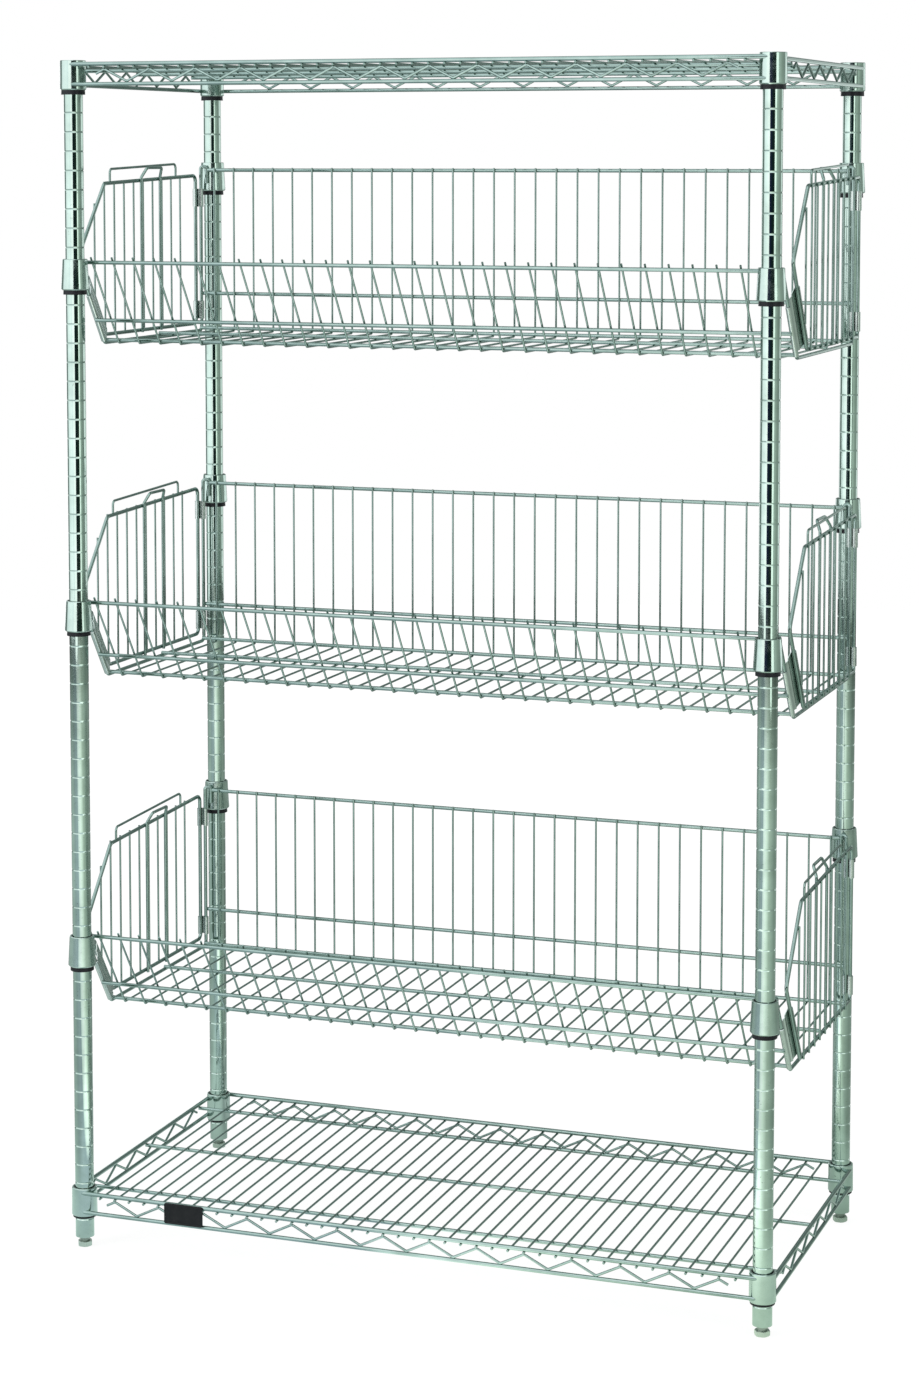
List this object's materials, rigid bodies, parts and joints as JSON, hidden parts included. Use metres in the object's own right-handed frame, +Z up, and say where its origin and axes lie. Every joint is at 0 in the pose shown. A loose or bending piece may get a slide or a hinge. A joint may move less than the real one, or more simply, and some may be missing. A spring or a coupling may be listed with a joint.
{
  "type": "wire basket rack",
  "caption": "Free-standing chrome wire rack on grooved posts, with sloped-front wire baskets between a top and a bottom wire shelf and levelling feet.",
  "frame": {"origin": "centre of the footprint, on the floor under the levelling feet", "axes": "+Z up, +X to the right seen from the front, +Y to the rear"},
  "size_m": [0.9902, 0.4825, 1.6064],
  "materials": {
    "post_chrome": "bright plated",
    "collar_chrome": "bright plated",
    "wire_chrome": "bright plated",
    "clip_steel": "plated sheet",
    "foot_zinc": "zinc plated",
    "insert_zinc": "zinc plated",
    "sleeve_black": "satin",
    "plate_black": "satin",
    "cap_grey": "satin"
  },
  "bodies": {
    "frame": {"post_front_left": "post_chrome", "post_front_right": "post_chrome", "post_rear_left": "post_chrome", "post_rear_right": "post_chrome", "post_caps": "cap_grey", "foot_inserts": "insert_zinc", "top_shelf_sleeves": "sleeve_black", "bottom_shelf_sleeves": "sleeve_black", "top_basket_sleeves": "sleeve_black", "middle_basket_sleeves": "sleeve_black", "lower_basket_sleeves": "sleeve_black"},
    "top_shelf": {"top_shelf_collars": "collar_chrome", "top_shelf_deck": "wire_chrome", "top_shelf_front_truss": "wire_chrome", "top_shelf_rear_truss": "wire_chrome", "top_shelf_left_truss": "wire_chrome", "top_shelf_right_truss": "wire_chrome"},
    "bottom_shelf": {"bottom_shelf_collars": "collar_chrome", "bottom_shelf_deck": "wire_chrome", "bottom_shelf_front_truss": "wire_chrome", "bottom_shelf_rear_truss": "wire_chrome", "bottom_shelf_left_truss": "wire_chrome", "bottom_shelf_right_truss": "wire_chrome", "name_plate": "plate_black"},
    "top_basket": {"top_basket_collars": "collar_chrome", "top_basket_front_grid": "wire_chrome", "top_basket_floor_grid": "wire_chrome", "top_basket_back_grid": "wire_chrome", "top_basket_left_panel": "wire_chrome", "top_basket_right_panel": "wire_chrome", "top_basket_side_loops": "wire_chrome", "top_basket_corner_clips": "clip_steel", "top_basket_channel_clips": "clip_steel"},
    "middle_basket": {"middle_basket_collars": "collar_chrome", "middle_basket_front_grid": "wire_chrome", "middle_basket_floor_grid": "wire_chrome", "middle_basket_back_grid": "wire_chrome", "middle_basket_left_panel": "wire_chrome", "middle_basket_right_panel": "wire_chrome", "middle_basket_side_loops": "wire_chrome", "middle_basket_corner_clips": "clip_steel", "middle_basket_channel_clips": "clip_steel"},
    "lower_basket": {"lower_basket_collars": "collar_chrome", "lower_basket_front_grid": "wire_chrome", "lower_basket_floor_grid": "wire_chrome", "lower_basket_back_grid": "wire_chrome", "lower_basket_left_panel": "wire_chrome", "lower_basket_right_panel": "wire_chrome", "lower_basket_side_loops": "wire_chrome", "lower_basket_corner_clips": "clip_steel", "lower_basket_channel_clips": "clip_steel"},
    "foot_front_left": {"foot_front_left": "foot_zinc"},
    "foot_front_right": {"foot_front_right": "foot_zinc"},
    "foot_rear_left": {"foot_rear_left": "foot_zinc"},
    "foot_rear_right": {"foot_rear_right": "foot_zinc"}
  },
  "joints": [
    {"name": "top_shelf_lift", "type": "slide", "parent": "frame", "child": "top_shelf", "axis": [0, 0, 1], "range_m": [0, 0.06]},
    {"name": "top_basket_lift", "type": "slide", "parent": "frame", "child": "top_basket", "axis": [0, 0, 1], "range_m": [0, 0.085]},
    {"name": "middle_basket_lift", "type": "slide", "parent": "frame", "child": "middle_basket", "axis": [0, 0, 1], "range_m": [0, 0.2]},
    {"name": "lower_basket_lift", "type": "slide", "parent": "frame", "child": "lower_basket", "axis": [0, 0, 1], "range_m": [0, 0.2]},
    {"name": "bottom_shelf_lift", "type": "slide", "parent": "frame", "child": "bottom_shelf", "axis": [0, 0, 1], "range_m": [0, 0.2]},
    {"name": "foot_front_left_screw", "type": "slide", "parent": "frame", "child": "foot_front_left", "axis": [0, 0, 1], "range_m": [-0.02, 0]},
    {"name": "foot_front_right_screw", "type": "slide", "parent": "frame", "child": "foot_front_right", "axis": [0, 0, 1], "range_m": [-0.02, 0]},
    {"name": "foot_rear_left_screw", "type": "slide", "parent": "frame", "child": "foot_rear_left", "axis": [0, 0, 1], "range_m": [-0.02, 0]},
    {"name": "foot_rear_right_screw", "type": "slide", "parent": "frame", "child": "foot_rear_right", "axis": [0, 0, 1], "range_m": [-0.02, 0]}
  ]
}
